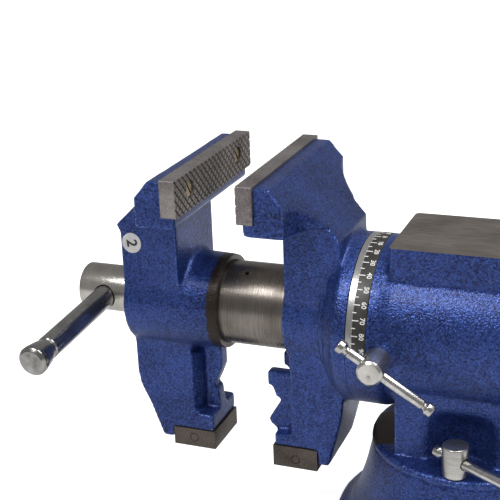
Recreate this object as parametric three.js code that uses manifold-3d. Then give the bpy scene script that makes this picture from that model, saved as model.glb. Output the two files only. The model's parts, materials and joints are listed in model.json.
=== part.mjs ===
// A 125 mm multi-purpose bench vise: rotating head, swivel base, pipe jaws below the screw.
// Millimetres, +Z up, +X from the handle to the rear, origin on the swivel axis at the base's underside.
import * as THREE from "three";
import { mergeVertices } from "three/addons/utils/BufferGeometryUtils.js";
import Module from "manifold-3d";

const wasm = await Module();
wasm.setup();

// ---- Driving dimensions ----
const AXIS_HEIGHT = 136; // screw axis above the bench
const JAW_GAP_X = -151.5; // middle of the jaw gap at rest, measured from the swivel axis
const CLEAR = 0.3; // gap between neighbouring pieces
const JAW_WIDTH = 125;
const JAW_TOP = 100; // above the screw axis
const HALF_GAP = 19.3; // grip face from the middle of the gap
const PLATE_THICK = 10.5;
const PLATE_HEIGHT = 24;
const PLATE_SCREW_Y = 39.5;
const PLATE_SCREW_Z = JAW_TOP - 11;
const BLOCK_HALF = 60; // half width of the upper jaw block
const BLOCK_BOTTOM = 67.7;
const WEB_HALF = 30;
const SLOPE_START = 38.7; // where the jaw's outer slope begins, from the middle of the gap
const SLOPE = 1.15; // its fall per millimetre
const TUBE_R = 27.6;
const TUBE_BORE_R = 20.4;
const TUBE_FRONT = -59.7;
const TUBE_REAR = 171;
const BARREL_BULGE_R = 33;
const MOVING_FRONT = 76; // the moving jaw's outer face
const HEAD_REAR = 73; // the head's web, which runs into its collar
const COLLAR_R = 54.3;
const COLLAR = { front: 72, rear: 82.4 };
const SLEEVE_R = 38;
const SLEEVE_REAR = 182;
const BODY_FRONT = COLLAR.rear + CLEAR;
const BODY_REAR = 240;
const BODY_R = 52;
const BODY_CHAMBER_R = 44; // behind the sleeve's bearing
const BEARING_REAR = 172;
const BAND = { r: 54.3, inner: 52.5, rear: 95.5, halfAngle: 93 };
const RIM_REAR = 103.2;
const ANVIL = { front: 104.3, rear: 200, half: 35, top: 60.1 };
const WALL_HALF = 43.5; // pedestal walls
const PEDESTAL_HALF = 41;
const FOOT = { r: 64.5, top: -71.6, bottom: -76 };
const BASE_R = 64;
const BASE_TOP = FOOT.bottom - CLEAR + AXIS_HEIGHT;
const SPIGOT_R = 20;
const LUG = { r: 96, radius: 15, height: 14, hole: 5.5 };
const SLOT_R = 56.5; // the base's circular T-slot
const T_SLOT = { neck: 4.6, undercut: 6.6, lip: 8, floor: 15 }; // half widths, then depths
const LOCK_NUT_R = 8;
const LOCK_BAR_R = 3.25;
const HEAD_LOCK = { x: 104, z: -3, near: -76.5, root: -54.9, shankEnd: -44.3 };
const HEAD_BAR = { y: -68.5, angle: 32, offset: 8.9 };
const BASE_NUT = { top: -51.5, bottom: -71.3, barZ: -61.7, barAngle: 30.4, barOffset: 18 };
const LOCK_POCKET = { r: 25, top: -42 }; // a scoop in the pedestal's wall, where a base lock's bar swings
const BOLT_R = 3.9;
const SHANK_R = 5; // the head lock screw, below its head
const PLATE_SCREW = { shankR: 3, headR: 5.2, boreR: 3.4, counterbore: 5.6, depth: 5.4, slotAngle: 35 };
const PLATE_SCREW_TIP = 42; // from the middle of the gap
const INSERT_SCREW = { inset: 6.7, shankR: 2.5, tapR: 2.8, headR: 4.9, boreR: 3.1, counterbore: 5.3 };
const INSERT_PIN = { inset: 15.4, z: -96.3, r: 2.8 };
const COLLAR_PIN = { x: -55, r: 2, half: 15.5 };
const NUT_KEY = { x: 93, tapR: 2.6, screwR: 2.3 }; // the spindle nut's foot and the screw under it
const CAP = { front: 240.3, shoulder: 244, rear: 246, screwR: 48, headR: 4, shankR: 2.2 };
const QUARTERS = [45, 135, 225, 315]; // degrees
const HANDLE = { x: -99.5, r: 7.6, half: 112.5, knobR: 9.8, tilt: 3.4 };
const HUB = { r: 16, front: -119, rear: -79 };
const JOURNAL_R = 10;
const THREAD_R = 9.2;
const THREAD_FRONT = -43;
const SPINDLE_REAR = 196.5;
const RETAINER = { r: 16, front: TUBE_FRONT + CLEAR, rear: -50.4 }; // the collar pinned on the journal
const NUT = { front: 80.5, rear: 108.5, r: 19.8 };
const NUT_FOOT = { front: 86, rear: 100, half: 6.5, depth: 34 };
const SNAP_RING_INNER = SLEEVE_R - 1.3;

// ---- Colours ----
const finish = (color, roughness, metalness) => ({ color, roughness, metalness });
const BLUE = finish(0x27407f, 0.45, 0.25);
const PLATE_STEEL = finish(0x8a857c, 0.45, 0.9);
const DARK_STEEL = finish(0x4d4844, 0.55, 0.85);
const TURNED_STEEL = finish(0xa9a59f, 0.3, 0.95);
const ZINC = finish(0xcfccc6, 0.25, 0.95);
const BRONZE = finish(0xa9824c, 0.4, 0.85);
const BLACK_LABEL = finish(0x26221f, 0.4, 0.3);
const WHITE_LABEL = finish(0xf1f0ec, 0.6, 0);

// ---- Solids ----
// A closed geometry as a manifold solid, with its seams joined and its pole slivers dropped.
function solid(geometry) {
  const g = geometry.clone();
  g.deleteAttribute("normal");
  g.deleteAttribute("uv");
  const merged = mergeVertices(g, 1e-4);
  const index = merged.index.array;
  const kept = [];
  for (let i = 0; i < index.length; i += 3) {
    const [a, b, c] = [index[i], index[i + 1], index[i + 2]];
    if (a !== b && b !== c && c !== a) kept.push(a, b, c);
  }
  const vertProperties = merged.attributes.position.array;
  return new wasm.Manifold(new wasm.Mesh({ numProp: 3, vertProperties, triVerts: new Uint32Array(kept) }));
}

function geometryOf(body) {
  const mesh = body.getMesh();
  const g = new THREE.BufferGeometry();
  g.setAttribute("position", new THREE.BufferAttribute(new Float32Array(mesh.vertProperties), 3));
  g.setIndex(new THREE.BufferAttribute(new Uint32Array(mesh.triVerts), 1));
  return g;
}

const join = (...bodies) => bodies.reduce((all, one) => all.add(one));
const cut = (body, ...tools) => tools.reduce((rest, tool) => rest.subtract(tool), body);

// An outline of [across, up] points, pushed through a depth that is centred on zero.
function extrude(points, depth) {
  const shape = new THREE.Shape(points.map(([x, y]) => new THREE.Vector2(x, y)));
  return new THREE.ExtrudeGeometry(shape, { depth, bevelEnabled: false, curveSegments: 12 }).translate(
    0,
    0,
    -depth / 2,
  );
}

// Points are [x, z], and the depth runs along Y.
const sideProfile = (points, depth, y = 0) =>
  solid(extrude(points, depth).rotateX(Math.PI / 2).translate(0, y, 0));

// Points are [x, y], and the depth runs from low to high along Z.
const planProfile = (points, low, high) =>
  solid(extrude(points, high - low).translate(0, 0, (low + high) / 2));

const box = (x0, x1, y0, y1, z0, z1) =>
  solid(
    new THREE.BoxGeometry(x1 - x0, y1 - y0, z1 - z0).translate((x0 + x1) / 2, (y0 + y1) / 2, (z0 + z1) / 2),
  );

// A turned solid. Points are [radius, height], and the axis is x, y or z.
function turned(points, axis, segments = 32) {
  const g = new THREE.LatheGeometry(
    points.map(([r, h]) => new THREE.Vector2(r, h)),
    segments,
  );
  if (axis === "x") g.rotateZ(-Math.PI / 2);
  if (axis === "z") g.rotateX(Math.PI / 2);
  return solid(g);
}

const rod = (r, from, to, axis, segments = 24) =>
  turned([[0, from], [r, from], [r, to], [0, to]], axis, segments);

const chamferedRod = (r, from, to, axis, c, segments = 24) =>
  turned([[0, from], [r - c, from], [r, from + c], [r, to - c], [r - c, to], [0, to]], axis, segments);

const ring = (outer, inner, from, to, axis, segments = 36) =>
  turned([[inner, from], [outer, from], [outer, to], [inner, to], [inner, from]], axis, segments);

function piece(group, name, body, { color, roughness, metalness }) {
  const mesh = new THREE.Mesh(
    geometryOf(body),
    new THREE.MeshStandardMaterial({ color, roughness, metalness }),
  );
  mesh.name = name;
  group.add(mesh);
  return mesh;
}

// ---- Jaw castings: side is 1 for the fixed head behind the gap, -1 for the moving jaw before it ----
const slopeAt = (x) => JAW_TOP - 1.7 - SLOPE * (x - SLOPE_START);

// Outlines are [x, z] pairs, with x from the middle of the gap. The ribs interlock as the jaws close.
const FIXED_JAW = {
  side: 1,
  rear: HEAD_REAR,
  webEdge: [[HEAD_REAR, slopeAt(HEAD_REAR)], [HEAD_REAR, 0]],
  leg: { half: 28, front: 37.3, shelfNear: 25.7, shelfTop: -79, bottom: -97.7 },
  legEdge: [[62.7, -97.7], [69.2, -72], [72.2, -59], [72.8, -50]],
  insert: { near: 24.6, far: 55, top: -87.6, bottom: -102.5, half: 28 },
  ribSpans: [[-20, -10.7], [10.7, 20]],
  rib: [
    [40, -38.3],
    [19.1, -38.3],
    [19.1, -48.4],
    [22.6, -48.8],
    [24.1, -56.2],
    [28.2, -57.8],
    [19.2, -73],
    [19.7, -76],
    [24.3, -79.6],
    [40, -79.6],
  ],
};
const MOVING_JAW = {
  side: -1,
  rear: MOVING_FRONT,
  webEdge: [[78.2, 57.8], [78.2, 56.5], [MOVING_FRONT, 53.5], [MOVING_FRONT, 0]],
  leg: { half: 20, front: 35.4, shelfNear: 21.4, shelfTop: -78, bottom: -98 },
  legEdge: [[59.3, -98], [61, -93.5], [68.2, -73.7], [74.6, -60], [MOVING_FRONT, -50]],
  insert: { near: 20.6, far: 51, top: -90, bottom: -103, half: 20 },
  ribSpans: [[-6, 6]],
  rib: [
    [37, -31],
    [20.5, -30.9],
    [19.1, -35.5],
    [19.1, -47.4],
    [21.5, -53.6],
    [24.2, -59.8],
    [26.4, -62.1],
    [22.7, -64.5],
    [21.9, -75.4],
    [21.9, -78.5],
    [37, -78.5],
  ],
};

const mirrored = (points, side) => points.map(([x, z]) => [x * side, z]);

function jawBlock({ side }) {
  const back = HALF_GAP + PLATE_THICK + CLEAR;
  const ledge = JAW_TOP - PLATE_HEIGHT - CLEAR;
  const outline = [
    [back, JAW_TOP - 1.7],
    [SLOPE_START, JAW_TOP - 1.7],
    [48.6, slopeAt(48.6)],
    [48.6, BLOCK_BOTTOM + 1.5],
    [47.2, BLOCK_BOTTOM],
    [24.4, BLOCK_BOTTOM],
    [22.2, BLOCK_BOTTOM + 2.2],
    [22.2, ledge],
    [back, ledge],
  ];
  return sideProfile(mirrored(outline, side), BLOCK_HALF * 2);
}

// The block's ends sweep in to the web, under the outer slope.
function jawFlare({ side, rear }) {
  const half = [
    [48, BLOCK_HALF - 0.5],
    [49.6, 53],
    [52, 46],
    [55.5, 40],
    [59.5, 36],
    [64, 33],
    [rear, WEB_HALF + 0.3],
  ];
  const plan = [
    [32, BLOCK_HALF - 0.5],
    ...half,
    ...half.toReversed().map(([x, y]) => [x, -y]),
    [32, 0.5 - BLOCK_HALF],
  ];
  const top = slopeAt(SLOPE_START) - 0.4;
  const tip = SLOPE_START + (top - BLOCK_BOTTOM) / SLOPE;
  const under = [
    [31.5, BLOCK_BOTTOM],
    [31.5, top],
    [SLOPE_START, top],
    [tip, BLOCK_BOTTOM],
  ];
  const prism = planProfile(mirrored(plan, side), BLOCK_BOTTOM, JAW_TOP);
  return prism.intersect(sideProfile(mirrored(under, side), JAW_WIDTH));
}

function jawWeb({ side, webEdge }) {
  const outline = [[36, 0], [36, 82], [SLOPE_START + 14, 82], ...webEdge];
  return sideProfile(mirrored(outline, side), WEB_HALF * 2);
}

function jawLeg({ side, leg, legEdge, insert, rear }) {
  const seat = insert.top + CLEAR;
  const outline = [
    [leg.front, 0],
    [leg.front, leg.shelfTop],
    [leg.shelfNear, leg.shelfTop],
    [leg.shelfNear, seat],
    [insert.far + CLEAR, seat],
    [insert.far + CLEAR, leg.bottom],
    ...legEdge,
    [Math.min(rear, legEdge.at(-1)[0]), 0],
  ];
  return sideProfile(mirrored(outline, side), leg.half * 2);
}

// The pipe jaw's ribs, which stand forward of the leg.
const pipeRibs = ({ side, rib, ribSpans }) =>
  ribSpans.map(([from, to]) => sideProfile(mirrored(rib, side), to - from, (from + to) / 2));

// The moving rib rises from a foot that narrows towards it.
function ribFoot() {
  const { half, front } = MOVING_JAW.leg;
  const [edge, tip] = [half - 0.2, 12];
  const plan = [
    [-front, edge],
    [4.5 - front, tip],
    [4.5 - front, -tip],
    [-front, -edge],
    [-front - 2.6, -edge],
    [-front - 2.6, edge],
  ];
  return planProfile(plan, -78.5, -34);
}

const insertScrewPlaces = ({ near, far }) => [near + INSERT_SCREW.inset, far - INSERT_SCREW.inset];

// Threaded holes for the two plate screws, and those above the lower insert.
function jawScrewHoles({ side, insert }) {
  const [low, high] = side > 0 ? [28, PLATE_SCREW_TIP] : [-PLATE_SCREW_TIP, -28];
  const forPlate = [-1, 1].map((s) =>
    rod(PLATE_SCREW.shankR + CLEAR, low, high, "x", 12).translate(0, s * PLATE_SCREW_Y, PLATE_SCREW_Z),
  );
  const forInsert = insertScrewPlaces(insert).map((x) =>
    rod(INSERT_SCREW.tapR, insert.top - 2, insert.top + 11, "z", 12).translate(side * x, 0, 0),
  );
  return [...forPlate, ...forInsert];
}

const jawSolids = (jaw) => [jawBlock(jaw), jawFlare(jaw), jawWeb(jaw), jawLeg(jaw), ...pipeRibs(jaw)];

function headCasting() {
  const profile = [
    [0, 66],
    [47, 66],
    [COLLAR_R - 3, COLLAR.front],
    [COLLAR_R, COLLAR.front + 2.5],
    [COLLAR_R, COLLAR.rear],
    [SLEEVE_R, COLLAR.rear],
    [SLEEVE_R, SLEEVE_REAR],
    [0, SLEEVE_REAR],
  ];
  const collar = turned(profile, "x", 44);
  const bulge = rod(BARREL_BULGE_R, 34.6, COLLAR.front + 2, "x", 40);
  const bore = rod(TUBE_R + CLEAR, 15, SLEEVE_REAR + 1, "x", 32);
  const keyHalf = NUT_FOOT.half + CLEAR;
  const keyway = box(NUT_FOOT.front - CLEAR, NUT_FOOT.rear + CLEAR, -keyHalf, keyHalf, -SLEEVE_R + 3, -20);
  const keyScrewHole = rod(NUT_KEY.tapR, -SLEEVE_R - 1, -30, "z", 12).translate(NUT_KEY.x, 0, 0);
  const grooveR = SNAP_RING_INNER - CLEAR;
  const snapGroove = ring(SLEEVE_R + 2, grooveR, BEARING_REAR + CLEAR, BEARING_REAR + 4, "x");
  const blank = join(...jawSolids(FIXED_JAW), bulge, collar);
  return cut(blank, bore, keyway, keyScrewHole, snapGroove, ...jawScrewHoles(FIXED_JAW));
}

function movingJawCasting() {
  const bulge = rod(BARREL_BULGE_R, -MOVING_FRONT - 0.6, -34, "x", 40);
  const bossProfile = [
    [0, -36],
    [32.5, -36],
    [31.6, -13],
    [30.4, -11],
    [0, -11],
  ];
  const boss = turned(bossProfile, "x", 40);
  const socket = rod(TUBE_R + CLEAR, TUBE_FRONT - CLEAR, 0, "x", 32);
  const journalBore = rod(JOURNAL_R + CLEAR, -80, -50, "x");
  const blank = join(...jawSolids(MOVING_JAW), ribFoot(), bulge, boss);
  return cut(blank, socket, journalBore, ...jawScrewHoles(MOVING_JAW));
}

// ---- Jaw furniture ----
function jawPlate(side) {
  const plate = box(0, PLATE_THICK, -JAW_WIDTH / 2, JAW_WIDTH / 2, JAW_TOP - PLATE_HEIGHT, JAW_TOP);
  const { boreR, counterbore, depth } = PLATE_SCREW;
  const holes = [-1, 1].flatMap((s) => [
    rod(counterbore, -1, depth, "x", 16).translate(0, s * PLATE_SCREW_Y, PLATE_SCREW_Z),
    rod(boreR, -1, PLATE_THICK + 1, "x", 16).translate(0, s * PLATE_SCREW_Y, PLATE_SCREW_Z),
  ]);
  const body = cut(plate, ...holes).translate(HALF_GAP, 0, 0);
  return side > 0 ? body : body.mirror([1, 0, 0]);
}

function plateScrew(side, y) {
  const { headR, shankR, slotAngle } = PLATE_SCREW;
  const screw = join(rod(headR, 0, 4, "x", 16), rod(shankR, 3, 21, "x", 10));
  const slot = box(-1, 1.6, -0.7, 0.7, -6, 6).rotate([slotAngle, 0, 0]);
  const body = cut(screw, slot).translate(HALF_GAP + 1.1, y, PLATE_SCREW_Z);
  return side > 0 ? body : body.mirror([1, 0, 0]);
}

function lowerInsert({ side, insert }) {
  const { near, far, top, bottom, half } = insert;
  const [low, high] = side > 0 ? [near, far] : [-far, -near];
  const block = box(low, high, -half, half, bottom, top);
  const holes = insertScrewPlaces(insert).flatMap((x) => [
    rod(INSERT_SCREW.counterbore, bottom - 1, bottom + 6, "z", 16).translate(side * x, 0, 0),
    rod(INSERT_SCREW.boreR, bottom - 1, top + 1, "z", 12).translate(side * x, 0, 0),
  ]);
  const pinBore = rod(INSERT_PIN.r + CLEAR, -half - 1, half + 1, "y", 16);
  return cut(block, atInsertPin(pinBore, side, near), ...holes);
}

const atInsertPin = (body, side, near) =>
  body.translate(side * (near + INSERT_PIN.inset), 0, INSERT_PIN.z);

const insertPin = ({ side, insert }) =>
  atInsertPin(rod(INSERT_PIN.r, -insert.half, insert.half, "y", 16), side, insert.near);

function insertScrew(x, { side, insert }) {
  const { bottom, top } = insert;
  const socket = rod(2.2, bottom, bottom + 3, "z", 6);
  const head = rod(INSERT_SCREW.headR, bottom + 0.6, bottom + 5.6, "z", 12);
  const shank = rod(INSERT_SCREW.shankR, bottom + 5, top + 7, "z", 8);
  return cut(join(head, shank), socket).translate(side * x, 0, 0);
}

// ---- Screw and slide ----
function slideTube() {
  const blank = ring(TUBE_R, TUBE_BORE_R, TUBE_FRONT, TUBE_REAR, "x", 40);
  const slot = box(-8, TUBE_REAR + 1, -7.2, 7.2, -TUBE_R - 2, 0);
  const oilHole = rod(1.5, 0, 40, "z", 12).rotate([24, 0, 0]).translate(4.5, 0, 0);
  return cut(blank, slot, oilHole);
}

function spindle() {
  const { r, front, rear } = HUB;
  const profile = [
    [0, front],
    [r - 1.5, front],
    [r, front + 1.5],
    [r, rear - 1],
    [r - 1, rear],
    [JOURNAL_R, rear],
    [JOURNAL_R, THREAD_FRONT - 1],
    [THREAD_R, THREAD_FRONT],
    [THREAD_R, SPINDLE_REAR - 2],
    [THREAD_R - 1.7, SPINDLE_REAR],
    [0, SPINDLE_REAR],
  ];
  const handleBore = rod(HANDLE.r + CLEAR, -20, 20, "y", 24).rotate([HANDLE.tilt, 0, 0]);
  return cut(turned(profile, "x", 28), handleBore.translate(HANDLE.x, 0, 0), collarPinBore());
}

const collarPinBore = () =>
  rod(COLLAR_PIN.r + CLEAR / 2, -20, 20, "z", 12).translate(COLLAR_PIN.x, 0, 0);

function retainingCollar() {
  const collar = ring(RETAINER.r, JOURNAL_R + CLEAR, RETAINER.front, RETAINER.rear, "x", 24);
  return cut(collar, collarPinBore());
}

function spindleNut() {
  const { r, front, rear } = NUT;
  const { half, depth } = NUT_FOOT;
  const body = rod(r, front, rear, "x", 24);
  const foot = box(NUT_FOOT.front, NUT_FOOT.rear, -half, half, -depth, -10);
  const thread = rod(THREAD_R + CLEAR, front - 10, rear + 10, "x");
  const screwHole = rod(NUT_KEY.tapR, -depth - 1, -24, "z", 12).translate(NUT_KEY.x, 0, 0);
  return cut(join(body, foot), thread, screwHole);
}

function nutScrew() {
  return rod(NUT_KEY.screwR, -SLEEVE_R + 0.4, -25, "z", 12).translate(NUT_KEY.x, 0, 0);
}

function snapRing() {
  const front = BEARING_REAR + 2 * CLEAR;
  const full = ring(BODY_CHAMBER_R - 1, SNAP_RING_INNER, front, front + 3, "x");
  return cut(full, box(front - 10, front + 10, -4, 4, -60, 0));
}

// ---- Handle: a rod with one forged knob and one pressed-on cap, lying along Y ----
function knobProfile(r, knobR, inner, outer) {
  return [
    [r * 0.86, inner],
    [r * 0.84, inner + 1.2],
    [knobR - 1.3, inner + 6],
    [knobR - 0.3, inner + 11],
    [knobR, inner + 14.5],
    [knobR, outer - 1.6],
    [knobR - 1.6, outer],
  ];
}

const KNOB_LENGTH = 19;

function handleBar() {
  const { r, half, knobR } = HANDLE;
  const stub = r * 0.55;
  const shoulder = KNOB_LENGTH + CLEAR - half;
  const profile = [
    [0, 2.6 - half],
    [stub, 2.6 - half],
    [stub, shoulder],
    [r * 0.86, shoulder],
    [r, shoulder + 2],
    [r, half - KNOB_LENGTH - 2],
    ...knobProfile(r, knobR, half - KNOB_LENGTH, half),
    [0, half],
  ];
  return turned(profile, "y", 24).rotate([180, 0, 0]);
}

function handleCap() {
  const { r, half, knobR } = HANDLE;
  const inner = half - KNOB_LENGTH;
  const outer = turned([[0, inner], ...knobProfile(r, knobR, inner, half), [0, half]], "y", 24);
  return cut(outer, rod(r * 0.55 + CLEAR, inner - 1, half - 2.2, "y", 16));
}

// ---- Tommy bars: axis along X, forged knob at +X, cap at -X, middle of the bar at 0 ----
const LOCK_BAR = { half: 33.5, knob: 7, neckR: 1.9, knobR: 4.2 };

function lockBar() {
  const { half, knob, neckR, knobR } = LOCK_BAR;
  const profile = [
    [0, 1.2 - half],
    [neckR, 1.2 - half],
    [neckR, knob - half + 0.3],
    [LOCK_BAR_R, knob - half + 0.6],
    [LOCK_BAR_R, half - knob],
    [neckR + 0.6, half - knob + 0.3],
    [neckR + 0.6, half - knob + 1.4],
    [knobR, half - knob + 3],
    [knobR, half - 0.8],
    [knobR - 0.8, half],
    [0, half],
  ];
  return turned(profile, "x", 16);
}

function lockBarCap() {
  const { half, knob, neckR, knobR } = LOCK_BAR;
  const profile = [
    [0, -half],
    [knobR - 0.8, -half],
    [knobR, 0.8 - half],
    [knobR, knob - half - 3],
    [neckR + 1, knob - half - 1.2],
    [neckR + 1, knob - half],
    [0, knob - half],
  ];
  return cut(turned(profile, "x", 16), rod(neckR + CLEAR, 0.8 - half, knob - half + 1, "x", 16));
}

// ---- Body ----
// The casting's box is in the screw frame: x from the middle of the jaw gap, z from the screw axis.
const SWIVEL = -JAW_GAP_X;

const atSwivel = (body, y = 0) => body.translate(SWIVEL, y, 0);
const atHeadLock = (body) => body.translate(HEAD_LOCK.x, 0, HEAD_LOCK.z);

function bodyCasting() {
  const bandSeat = BAND.inner - CLEAR;
  const groove = BODY_R - 1.6;
  const profile = [
    [0, BODY_FRONT],
    [bandSeat, BODY_FRONT],
    [bandSeat, BAND.rear + CLEAR],
    [COLLAR_R, BAND.rear + CLEAR],
    [COLLAR_R, RIM_REAR],
    [groove, RIM_REAR],
    [groove, RIM_REAR + 1.4],
    [BODY_R, RIM_REAR + 2],
    [BODY_R, BODY_REAR],
    [0, BODY_REAR],
  ];
  const barrel = turned(profile, "x", 44);
  const anvil = box(ANVIL.front, ANVIL.rear, -ANVIL.half, ANVIL.half, 0, ANVIL.top);
  const pedestal = atSwivel(
    box(-PEDESTAL_HALF, PEDESTAL_HALF, -WALL_HALF, WALL_HALF, FOOT.top - 1, 0),
  );
  const foot = atSwivel(rod(FOOT.r, FOOT.bottom, FOOT.top, "z", 40));
  const spigot = atSwivel(rod(SPIGOT_R - CLEAR, FOOT.bottom - 28, FOOT.bottom, "z", 28));
  const bossEnd = HEAD_LOCK.root + CLEAR;
  const lockBoss = atHeadLock(rod(LOCK_NUT_R - 0.4, bossEnd, -36, "y", 24));
  const bearing = rod(SLEEVE_R + CLEAR, BODY_FRONT - 1, BEARING_REAR + 1, "x", 36);
  const chamber = rod(BODY_CHAMBER_R, BEARING_REAR, BODY_REAR + 1, "x", 28);
  const bandTurn = BAND.halfAngle + 0.4;
  const bandGap = labelSector(BAND.r + 2, bandSeat, BODY_FRONT - 1, BAND.rear + CLEAR, bandTurn);
  const belowBand = ring(COLLAR_R, bandSeat - 1, BODY_FRONT, BAND.rear + 1, "x", 44);
  const spotFace = atHeadLock(rod(LOCK_NUT_R + 1.5, -70, bossEnd, "y", 24));
  const lockHole = atHeadLock(rod(SHANK_R + CLEAR, -70, -40, "y", 16));
  const shoeHole = atHeadLock(rod(SHOE.r + CLEAR, HEAD_LOCK.shankEnd, -30, "y", 24));
  const boltHoles = [-1, 1].map((s) =>
    atSwivel(rod(BOLT_R + 0.5, FOOT.bottom - 1, FOOT.top + 1, "z", 16), s * SLOT_R),
  );
  const capHoles = capScrewPlaces().map(([y, z]) =>
    rod(CAP.shankR + CLEAR, BODY_REAR - 12, BODY_REAR + 1, "x", 10).translate(0, y, z),
  );
  const pockets = [-1, 1].map((s) =>
    atSwivel(rod(LOCK_POCKET.r, FOOT.top, LOCK_POCKET.top, "z", 32), s * SLOT_R),
  );
  const shell = join(barrel, cut(belowBand, bandGap), anvil, pedestal, foot, spigot, lockBoss);
  return cut(shell, bearing, chamber, spotFace, lockHole, shoeHole, ...pockets, ...boltHoles, ...capHoles);
}

// A tube's upper sector, reaching halfAngle degrees each way from straight up.
function labelSector(outer, inner, from, to, halfAngle, segments = 24) {
  const shape = new THREE.Shape();
  const turn = THREE.MathUtils.degToRad(halfAngle);
  const middle = Math.PI / 2;
  shape.absarc(0, 0, outer, middle - turn, middle + turn, false);
  shape.absarc(0, 0, inner, middle + turn, middle - turn, true);
  const depth = to - from;
  const g = new THREE.ExtrudeGeometry(shape, { depth, bevelEnabled: false, curveSegments: segments });
  const [x, y, z] = [new THREE.Vector3(1, 0, 0), new THREE.Vector3(0, 1, 0), new THREE.Vector3(0, 0, 1)];
  g.applyMatrix4(new THREE.Matrix4().makeBasis(y, z, x));
  return solid(g).translate(from, 0, 0);
}

const degreeBand = () =>
  labelSector(BAND.r, BAND.inner, BODY_FRONT + CLEAR / 2, BAND.rear, BAND.halfAngle);

function capScrewPlaces() {
  return QUARTERS.map((deg) => {
    const a = THREE.MathUtils.degToRad(deg);
    return [CAP.screwR * Math.cos(a), CAP.screwR * Math.sin(a)];
  });
}

function rearCap() {
  const { front, shoulder, rear, headR, shankR } = CAP;
  const profile = [
    [0, front],
    [BODY_R, front],
    [BODY_R, shoulder],
    [BODY_R - 2, rear],
    [0, rear],
  ];
  const holes = capScrewPlaces().flatMap(([y, z]) => [
    rod(shankR + 0.6, front - 1, rear + 1, "x", 10).translate(0, y, z),
    rod(headR + CLEAR, rear - 2.6, rear + 1, "x", 12).translate(0, y, z),
  ]);
  return cut(turned(profile, "x", 36), ...holes);
}

function capScrew([y, z]) {
  const { rear, headR, shankR } = CAP;
  const head = rod(headR, rear - 2.2, rear + 0.4, "x", 12);
  const shank = rod(shankR, rear - 15, rear - 2, "x", 8);
  const slot = box(rear - 1, rear + 2, -0.5, 0.5, -2.6, 2.6);
  return cut(join(head, shank), slot, slot.rotate([90, 0, 0])).translate(0, y, z);
}

// ---- Head lock: a barrel nut with its bolt, which pushes a bronze shoe onto the sleeve ----
const SHOE = { r: 7, outer: -44, inner: -37 };

const barBore = () => rod(LOCK_BAR_R + CLEAR, -20, 20, "x", 16);

function headLockScrew() {
  const { near, root, shankEnd } = HEAD_LOCK;
  const head = chamferedRod(LOCK_NUT_R, near, root, "y", 1, 24);
  const shank = rod(SHANK_R, root - 1, shankEnd, "y", 16);
  return cut(join(head, shank), barBore().translate(0, HEAD_BAR.y, 0));
}

function headLockShoe() {
  const plug = atHeadLock(rod(SHOE.r, SHOE.outer, SHOE.inner, "y", 24));
  return cut(plug, rod(SLEEVE_R + 2 * CLEAR, BODY_FRONT, BODY_FRONT + 50, "x", 36));
}

// ---- Base lock: a T-bolt in the base's circular slot, and a barrel nut with a tommy bar ----
function baseLockBolt() {
  const slotTop = BASE_TOP - AXIS_HEIGHT;
  const head = box(-6, 6, -5.8, 5.8, slotTop - 14.6, slotTop - 8.4);
  return join(head, rod(BOLT_R, slotTop - 10, BASE_NUT.barZ - LOCK_BAR_R - 2, "z", 16));
}

function baseLockNut() {
  const { top, bottom, barZ } = BASE_NUT;
  const barrel = chamferedRod(LOCK_NUT_R, bottom, top, "z", 0.8, 24);
  const boltBore = rod(BOLT_R + CLEAR, bottom - 1, barZ - LOCK_BAR_R - 1.6, "z", 16);
  return cut(barrel, boltBore, barBore().translate(0, 0, barZ));
}

// ---- Swivel base ----
function swivelBase() {
  const top = BASE_TOP;
  const { neck, undercut, lip, floor } = T_SLOT;
  const underside = [
    [0, 0],
    [37, 0],
    [38, 26],
    [58, 26],
    [68, 0],
  ];
  const flank = [
    [86, 0],
    [88, 2],
    [88, 6],
    [81, 8.5],
    [78.2, 11],
    [76.6, 14],
    [73.6, 23],
    [70.5, 32],
    [67.6, 42],
    [65.4, 52],
    [BASE_R, top - 1.2],
    [BASE_R - 1.2, top],
  ];
  const slot = [
    [SLOT_R + neck, top],
    [SLOT_R + neck, top - lip],
    [SLOT_R + undercut, top - lip],
    [SLOT_R + undercut, top - floor],
    [SLOT_R - undercut, top - floor],
    [SLOT_R - undercut, top - lip],
    [SLOT_R - neck, top - lip],
    [SLOT_R - neck, top],
  ];
  const spigotBore = [
    [SPIGOT_R + CLEAR, top],
    [SPIGOT_R + CLEAR, top - 29],
    [0, top - 29],
  ];
  const cone = turned([...underside, ...flank, ...slot, ...spigotBore], "z", 40);
  const lugs = QUARTERS.map((deg) => mountingLug().rotate([0, 0, deg]));
  const holes = QUARTERS.map((deg) =>
    rod(LUG.hole, -1, LUG.height + 10, "z", 12).translate(LUG.r, 0, 0).rotate([0, 0, deg]),
  );
  return cut(join(cone, ...lugs), ...holes);
}

function mountingLug() {
  const shape = new THREE.Shape();
  shape.moveTo(74, -LUG.radius - 3);
  shape.lineTo(LUG.r, -LUG.radius);
  shape.absarc(LUG.r, 0, LUG.radius, -Math.PI / 2, Math.PI / 2, false);
  shape.lineTo(74, LUG.radius + 3);
  shape.closePath();
  const g = new THREE.ExtrudeGeometry(shape, { depth: LUG.height, bevelEnabled: false, curveSegments: 10 });
  return solid(g);
}

// ---- Assembly ----
const vise = new THREE.Group();

const screwFrame = new THREE.Group();
screwFrame.position.set(JAW_GAP_X, 0, AXIS_HEIGHT);
vise.add(screwFrame);

piece(vise, "swivel_base", swivelBase(), BLUE);

piece(screwFrame, "body_casting", bodyCasting(), BLUE);
piece(screwFrame, "degree_band", degreeBand(), BLACK_LABEL);
piece(screwFrame, "rear_cap", rearCap(), BLUE);
capScrewPlaces().forEach((place, i) => piece(screwFrame, `rear_cap_screw_${i + 1}`, capScrew(place), ZINC));

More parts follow.
